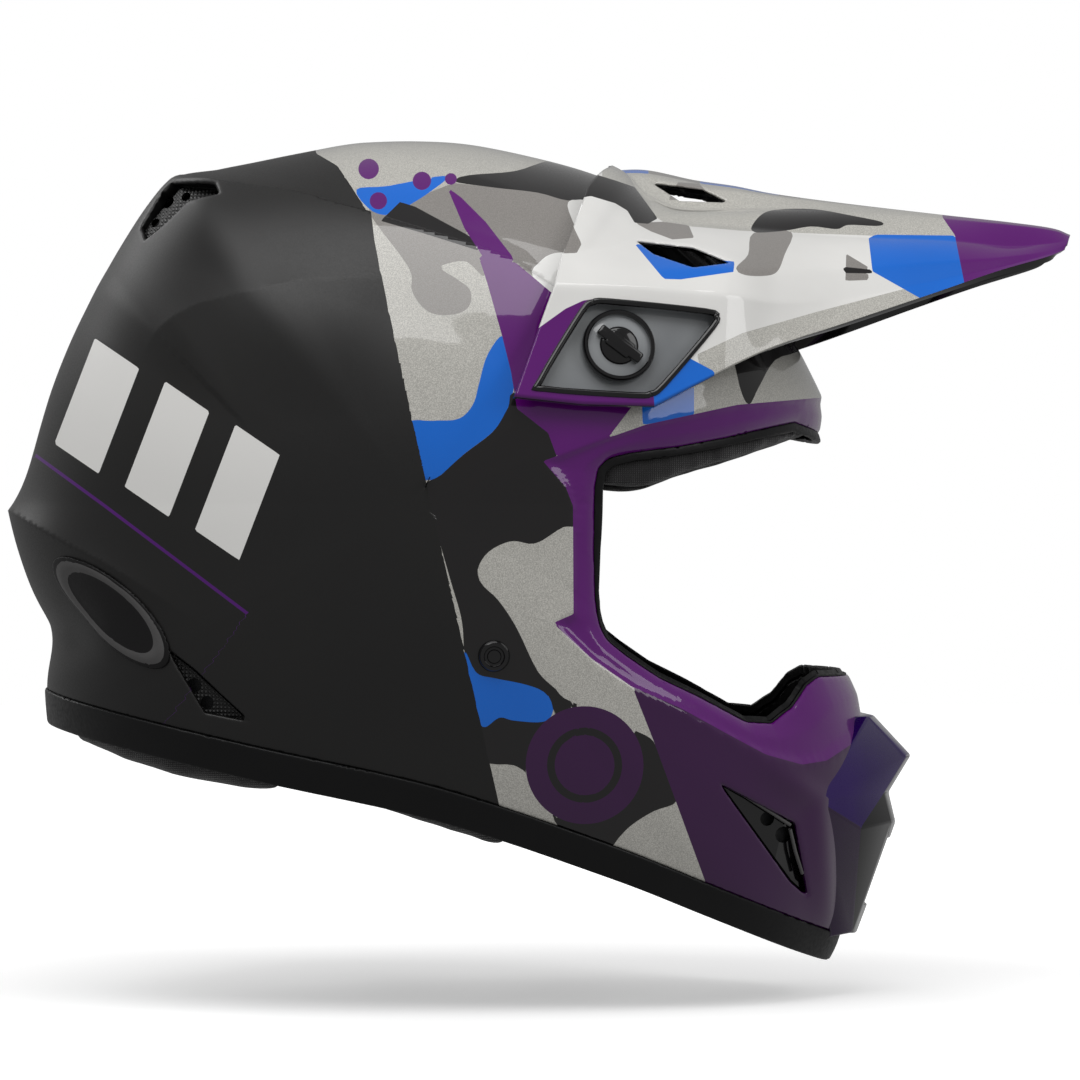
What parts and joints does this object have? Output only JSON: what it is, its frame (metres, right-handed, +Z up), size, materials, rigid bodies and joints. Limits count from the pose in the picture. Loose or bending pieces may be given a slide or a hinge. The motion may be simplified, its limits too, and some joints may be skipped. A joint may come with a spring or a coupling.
{
  "type": "motocross helmet",
  "caption": "Full-face off-road helmet with a chin bar, wide eye port, padded liner, D-ring chin strap, air vents and a long tilting sun peak held by side screws.",
  "frame": {"origin": "middle of the head cavity at eye level, on the middle plane", "axes": "+X forwards along the wearer's line of sight, +Y to the wearer's left, +Z up as worn"},
  "size_m": [0.382, 0.2564, 0.2989],
  "materials": {
    "shell_paint": "painted, part matte and part gloss",
    "peak_paint": "gloss painted camouflage",
    "edge_rubber": "satin black",
    "foam": "black foam",
    "liner_fabric": "brushed black knit",
    "strap_webbing": "woven black",
    "steel": "satin",
    "black_plastic": "satin black",
    "pod_plastic": "smoked gloss",
    "badge_plate": "dark satin"
  },
  "bodies": {
    "helmet": {"outer_shell": "shell_paint", "mouth_vent_frame": "shell_paint", "rim_trim": "edge_rubber", "eye_port_gasket": "edge_rubber", "crown_foam": "foam", "chin_foam": "foam", "chin_filter": "foam", "cheek_foam_R": "foam", "cheek_foam_L": "foam", "crown_pad": "liner_fabric", "brow_pad": "liner_fabric", "cheek_pad_R": "liner_fabric", "cheek_pad_L": "liner_fabric", "neck_roll": "liner_fabric", "strap_sleeve_R": "liner_fabric", "strap_sleeve_L": "liner_fabric", "chin_strap_R": "strap_webbing", "chin_strap_L": "strap_webbing", "strap_anchor_R": "steel", "strap_anchor_L": "steel", "strap_rivet_R": "steel", "strap_rivet_L": "steel", "peak_washer_R": "steel", "peak_washer_L": "steel", "peak_nut_R": "steel", "peak_nut_L": "steel", "strap_snap": "black_plastic", "mouth_grille": "black_plastic", "chin_vent_grille_R": "black_plastic", "chin_vent_grille_L": "black_plastic", "rear_vent_grille_R": "black_plastic", "rear_vent_grille_L": "black_plastic", "top_vent_grille_R": "black_plastic", "top_vent_grille_L": "black_plastic", "cheek_snap_1_R": "black_plastic", "cheek_snap_1_L": "black_plastic", "cheek_snap_2_R": "black_plastic", "cheek_snap_2_L": "black_plastic", "rear_badge_R": "badge_plate", "rear_badge_L": "badge_plate"},
    "peak": {"peak": "peak_paint", "pod_plate_R": "pod_plastic", "pod_plate_L": "pod_plastic"},
    "screw_R": {"peak_screw_R": "black_plastic"},
    "screw_L": {"peak_screw_L": "black_plastic"},
    "ring_upper": {"d_ring_upper": "steel"},
    "ring_lower": {"d_ring_lower": "steel"}
  },
  "joints": [
    {"name": "peak_tilt", "type": "hinge", "parent": "helmet", "child": "peak", "pos_m": [0.064, 0, 0.0745], "axis": [0, -1, 0], "range_deg": [-10, 1]},
    {"name": "right_screw_turn", "type": "hinge", "parent": "helmet", "child": "screw_R", "pos_m": [0.064, -0.11207, 0.0745], "axis": [0.1905, -0.9524, 0.2381], "continuous": true},
    {"name": "left_screw_turn", "type": "hinge", "parent": "helmet", "child": "screw_L", "pos_m": [0.064, 0.11207, 0.0745], "axis": [0.1905, 0.9524, 0.2381], "continuous": true},
    {"name": "upper_ring_swing", "type": "hinge", "parent": "helmet", "child": "ring_upper", "pos_m": [0.04665, 0.013, -0.0923], "axis": [1, 0, 0], "range_deg": [-2, 2]},
    {"name": "lower_ring_swing", "type": "hinge", "parent": "helmet", "child": "ring_lower", "pos_m": [0.04665, 0.013, -0.0973], "axis": [1, 0, 0], "range_deg": [-2, 2]}
  ]
}
